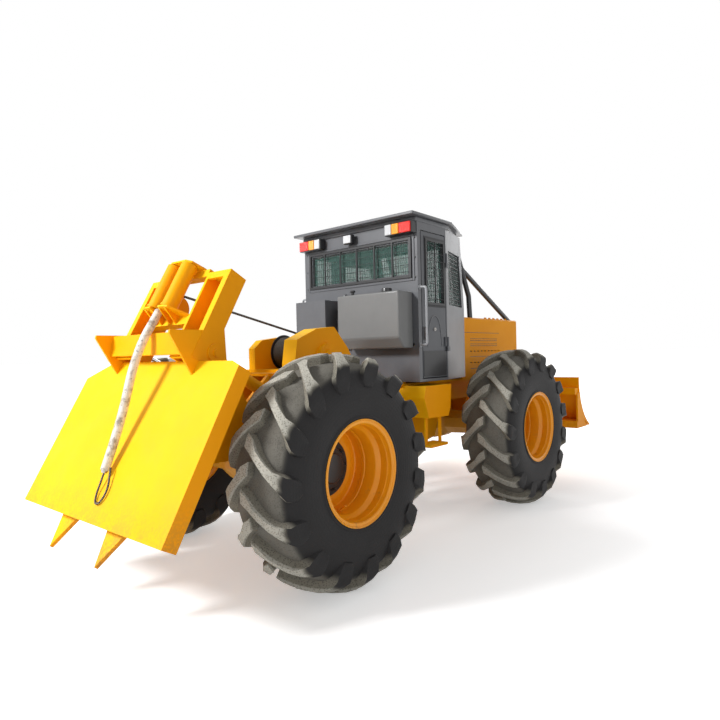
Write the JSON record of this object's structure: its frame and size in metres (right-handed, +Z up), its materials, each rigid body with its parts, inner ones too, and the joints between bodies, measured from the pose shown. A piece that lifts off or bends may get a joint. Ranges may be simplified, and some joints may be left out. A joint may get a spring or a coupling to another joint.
{
  "type": "cable log skidder",
  "caption": "Articulated cable log skidder with a winch, a roller fairlead arch on a hinged butt plate, a caged cab, a sloping front blade and big lugged tyres.",
  "frame": {"origin": "middle of the machine's length and width, on the ground", "axes": "+X forward to the blade, +Y to the machine's left, +Z up"},
  "size_m": [6.037, 2.51, 2.84],
  "materials": {
    "yellow_paint": "satin",
    "dark_paint": "satin",
    "black_paint": "satin",
    "grey_panel": "satin",
    "bare_steel": "worn",
    "chrome_rod": "polished",
    "tyre_rubber": "dusty matte",
    "wire_rope": "oily",
    "rope_cover": "matte",
    "window_glass": "gloss",
    "seat_cloth": "matte",
    "trim_plastic": "matte",
    "lamp_plastic": "gloss",
    "engine_iron": "matte",
    "gear_case": "satin"
  },
  "bodies": {
    "rear_frame": {"rear_frame": "yellow_paint", "rear_axle": "gear_case", "winch_housing": "yellow_paint", "winch_drum": "black_paint", "winch_rope": "wire_rope"},
    "front_frame": {"front_frame": "yellow_paint", "transmission": "engine_iron", "engine_block": "engine_iron", "hood": "yellow_paint", "radiator_grille": "black_paint", "cab_shell": "dark_paint", "cab_roof": "black_paint", "cab_glass": "window_glass", "window_guards": "black_paint", "operator_seat": "seat_cloth", "control_console": "trim_plastic", "fuel_tank": "dark_paint", "hydraulic_tank": "dark_paint", "rear_lamps": "lamp_plastic", "grab_handles": "grey_panel", "step_boxes": "yellow_paint", "limb_risers": "black_paint"},
    "front_axle": {"front_axle": "gear_case"},
    "wheel_rear_left": {"tyre_rear_left": "tyre_rubber", "rim_rear_left": "yellow_paint"},
    "wheel_rear_right": {"tyre_rear_right": "tyre_rubber", "rim_rear_right": "yellow_paint"},
    "wheel_front_left": {"tyre_front_left": "tyre_rubber", "rim_front_left": "yellow_paint"},
    "wheel_front_right": {"tyre_front_right": "tyre_rubber", "rim_front_right": "yellow_paint"},
    "rear_lift": {"butt_plate": "yellow_paint", "arch_frame": "yellow_paint", "rope_hopper": "yellow_paint", "roller_bracket": "yellow_paint", "rope_drop": "wire_rope", "rope_sleeve": "rope_cover", "choker_loop": "wire_rope"},
    "roller_left": {"fairlead_roller_left": "yellow_paint"},
    "roller_right": {"fairlead_roller_right": "yellow_paint"},
    "blade": {"blade": "yellow_paint"},
    "door_left": {"door_left": "dark_paint", "door_glass_left": "window_glass"},
    "door_right": {"door_right": "dark_paint", "door_glass_right": "window_glass"},
    "lift_barrels": {"lift_barrels": "yellow_paint"},
    "lift_rods": {"lift_rods": "chrome_rod"},
    "blade_barrels": {"blade_barrels": "yellow_paint"},
    "blade_rods": {"blade_rods": "chrome_rod"},
    "steer_barrel_left": {"steer_barrel_left": "black_paint"},
    "steer_barrel_right": {"steer_barrel_right": "black_paint"},
    "steer_rod_left": {"steer_rod_left": "chrome_rod"},
    "steer_rod_right": {"steer_rod_right": "chrome_rod"}
  },
  "joints": [
    {"name": "rear_left_wheel_spin", "type": "hinge", "parent": "rear_frame", "child": "wheel_rear_left", "pos_m": [-1.66147, 0.99, 0.8], "axis": [0, 1, 0], "continuous": true},
    {"name": "rear_right_wheel_spin", "type": "hinge", "parent": "rear_frame", "child": "wheel_rear_right", "pos_m": [-1.66147, -0.99, 0.8], "axis": [0, 1, 0], "continuous": true},
    {"name": "steer_pivot", "type": "hinge", "parent": "rear_frame", "child": "front_frame", "pos_m": [-0.51147, 0, 0.9], "axis": [0, 0, 1], "range_deg": [-40, 40]},
    {"name": "front_axle_swing", "type": "hinge", "parent": "front_frame", "child": "front_axle", "pos_m": [1.13853, 0, 0.8], "axis": [1, 0, 0], "range_deg": [-8, 8]},
    {"name": "front_left_wheel_spin", "type": "hinge", "parent": "front_axle", "child": "wheel_front_left", "pos_m": [1.13853, 0.99, 0.8], "axis": [0, 1, 0], "continuous": true},
    {"name": "front_right_wheel_spin", "type": "hinge", "parent": "front_axle", "child": "wheel_front_right", "pos_m": [1.13853, -0.99, 0.8], "axis": [0, 1, 0], "continuous": true},
    {"name": "rear_lift_pivot", "type": "hinge", "parent": "rear_frame", "child": "rear_lift", "pos_m": [-2.01147, 0, 1], "axis": [0, -1, 0], "range_deg": [0, 22], "deforming": ["winch_rope"]},
    {"name": "left_roller_spin", "type": "hinge", "parent": "rear_lift", "child": "roller_left", "pos_m": [-2.26837, 0.09, 2.08437], "axis": [0.4863, 0, 0.8738], "continuous": true},
    {"name": "right_roller_spin", "type": "hinge", "parent": "rear_lift", "child": "roller_right", "pos_m": [-2.26837, -0.09, 2.08437], "axis": [0.4863, 0, 0.8738], "continuous": true},
    {"name": "lift_barrels_turn", "type": "hinge", "parent": "rear_frame", "child": "lift_barrels", "pos_m": [-1.54147, 0, 1.18], "axis": [0, -1, 0], "range_deg": [0, 13.6]},
    {"name": "lift_rods_slide", "type": "slide", "parent": "lift_barrels", "child": "lift_rods", "axis": [-0.8616, 0, 0.5075], "range_m": [0, 0.137]},
    {"name": "blade_pivot", "type": "hinge", "parent": "front_frame", "child": "blade", "pos_m": [1.63853, 0, 0.7], "axis": [0, 1, 0], "range_deg": [-6, 27]},
    {"name": "blade_barrels_turn", "type": "hinge", "parent": "front_frame", "child": "blade_barrels", "pos_m": [1.88853, 0, 1.22], "axis": [0, 1, 0], "range_deg": [-1.9, 8.4]},
    {"name": "blade_rods_slide", "type": "slide", "parent": "blade_barrels", "child": "blade_rods", "axis": [0.4299, 0, -0.9029], "range_m": [-0.046, 0.204]},
    {"name": "door_left_hinge", "type": "hinge", "parent": "front_frame", "child": "door_left", "pos_m": [0.22353, 0.734, 2], "axis": [0, 0, -1], "range_deg": [0, 85]},
    {"name": "door_right_hinge", "type": "hinge", "parent": "front_frame", "child": "door_right", "pos_m": [0.22353, -0.734, 2], "axis": [0, 0, 1], "range_deg": [0, 85]},
    {"name": "steer_barrel_left_turn", "type": "hinge", "parent": "rear_frame", "child": "steer_barrel_left", "pos_m": [-1.29147, 0.375, 0.8], "axis": [0, 0, 1], "range_deg": [-5.1, 5.1]},
    {"name": "steer_rod_left_slide", "type": "slide", "parent": "steer_barrel_left", "child": "steer_rod_left", "axis": [1, 0, 0], "range_m": [-0.25, 0.25]},
    {"name": "steer_barrel_right_turn", "type": "hinge", "parent": "rear_frame", "child": "steer_barrel_right", "pos_m": [-1.29147, -0.375, 0.8], "axis": [0, 0, 1], "range_deg": [-5.1, 5.1]},
    {"name": "steer_rod_right_slide", "type": "slide", "parent": "steer_barrel_right", "child": "steer_rod_right", "axis": [1, 0, 0], "range_m": [-0.25, 0.25]}
  ],
  "couplings": [
    {"joint": "lift_barrels_turn", "follows": "rear_lift_pivot", "ratio": 0.61},
    {"joint": "lift_rods_slide", "follows": "rear_lift_pivot", "m_per_rad": 0.3535},
    {"joint": "blade_barrels_turn", "follows": "blade_pivot", "ratio": 0.305},
    {"joint": "blade_rods_slide", "follows": "blade_pivot", "m_per_rad": 0.429},
    {"joint": "steer_barrel_left_turn", "follows": "steer_pivot", "ratio": 0.125},
    {"joint": "steer_barrel_right_turn", "follows": "steer_pivot", "ratio": 0.125},
    {"joint": "steer_rod_left_slide", "follows": "steer_pivot", "m_per_rad": -0.354},
    {"joint": "steer_rod_right_slide", "follows": "steer_pivot", "m_per_rad": 0.354}
  ]
}
